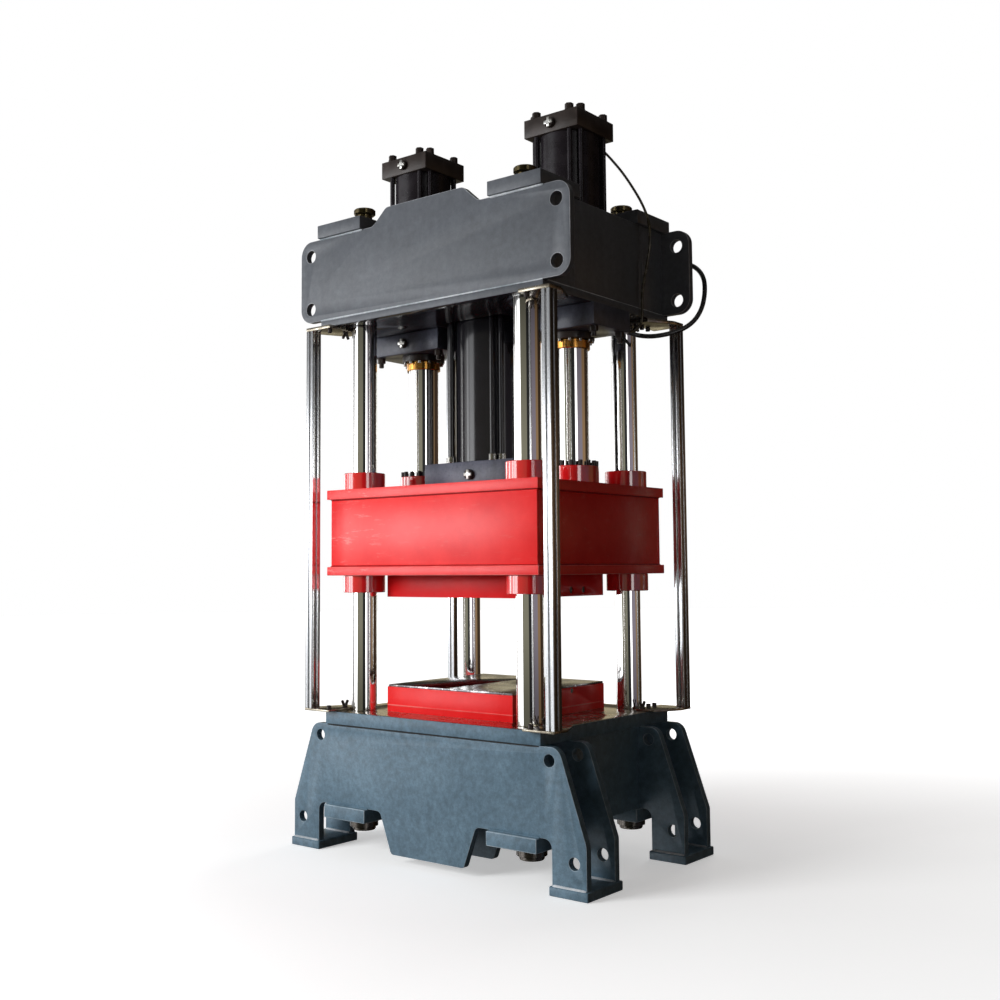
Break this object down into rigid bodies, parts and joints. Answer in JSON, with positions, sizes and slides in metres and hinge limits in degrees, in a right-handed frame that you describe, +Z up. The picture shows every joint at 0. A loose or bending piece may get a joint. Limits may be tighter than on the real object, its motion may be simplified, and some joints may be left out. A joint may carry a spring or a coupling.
{
  "type": "four-column trim press",
  "caption": "Tall four-column hydraulic trim press: legged plate base, red riser and sliding red platen, plate crown with tie-rod cylinders on top.",
  "frame": {"origin": "on the floor, at the middle of the four feet", "axes": "+X to the right along the front, +Y away from the viewer, +Z up"},
  "size_m": [2.094, 1.364, 4.169],
  "materials": {
    "grey_paint": "satin machine enamel",
    "red_paint": "gloss machine enamel",
    "chrome_rod": "hard chromed and polished",
    "black_finish": "satin black enamel",
    "plated_steel": "zinc plated",
    "nut_steel": "dark oiled steel",
    "bright_steel": "ground and oiled",
    "bronze": "turned bronze",
    "aluminium_post": "anodised",
    "hose_rubber": "matte black"
  },
  "bodies": {
    "frame": {"base_end_panels": "grey_paint", "base_front_plate": "grey_paint", "base_inner_plates": "grey_paint", "base_rear_plate": "grey_paint", "bolster_plate": "bright_steel", "cable_sockets": "black_finish", "cap_nuts": "black_finish", "crown_end_panels": "grey_paint", "crown_floor_plate": "grey_paint", "crown_front_plate": "grey_paint", "crown_inner_plates": "grey_paint", "crown_rear_plate": "grey_paint", "cylinder_barrels": "black_finish", "cylinder_caps": "black_finish", "cylinder_flanges": "black_finish", "cylinder_tie_rods": "black_finish", "foot_pads": "grey_paint", "gland_retainers": "black_finish", "guide_columns": "chrome_rod", "hose_fittings": "plated_steel", "hose_loop": "hose_rubber", "lower_column_blocks": "grey_paint", "lower_column_nuts": "nut_steel", "outer_posts": "aluminium_post", "port_fittings": "plated_steel", "post_brackets": "plated_steel", "riser_box": "red_paint", "riser_top_plate": "bright_steel", "rod_glands": "bronze", "sensor_cable": "hose_rubber", "upper_column_blocks": "grey_paint", "upper_column_nuts": "nut_steel"},
    "platen": {"platen_bottom_plate": "red_paint", "platen_top_plate": "red_paint", "platen_long_webs": "red_paint", "platen_end_webs": "red_paint", "guide_sleeves": "red_paint", "sleeve_collars": "red_paint", "upper_die_plate": "red_paint", "rod_flanges": "red_paint", "cylinder_rods": "chrome_rod", "middle_cylinder_flange": "black_finish", "middle_cylinder_barrel": "black_finish", "middle_cylinder_cap": "black_finish", "middle_tie_rods": "black_finish", "middle_port_fitting": "plated_steel"}
  },
  "joints": [
    {"name": "platen_slide", "type": "slide", "parent": "frame", "child": "platen", "axis": [0, 0, 1], "range_m": [-0.42, 0.46]}
  ]
}
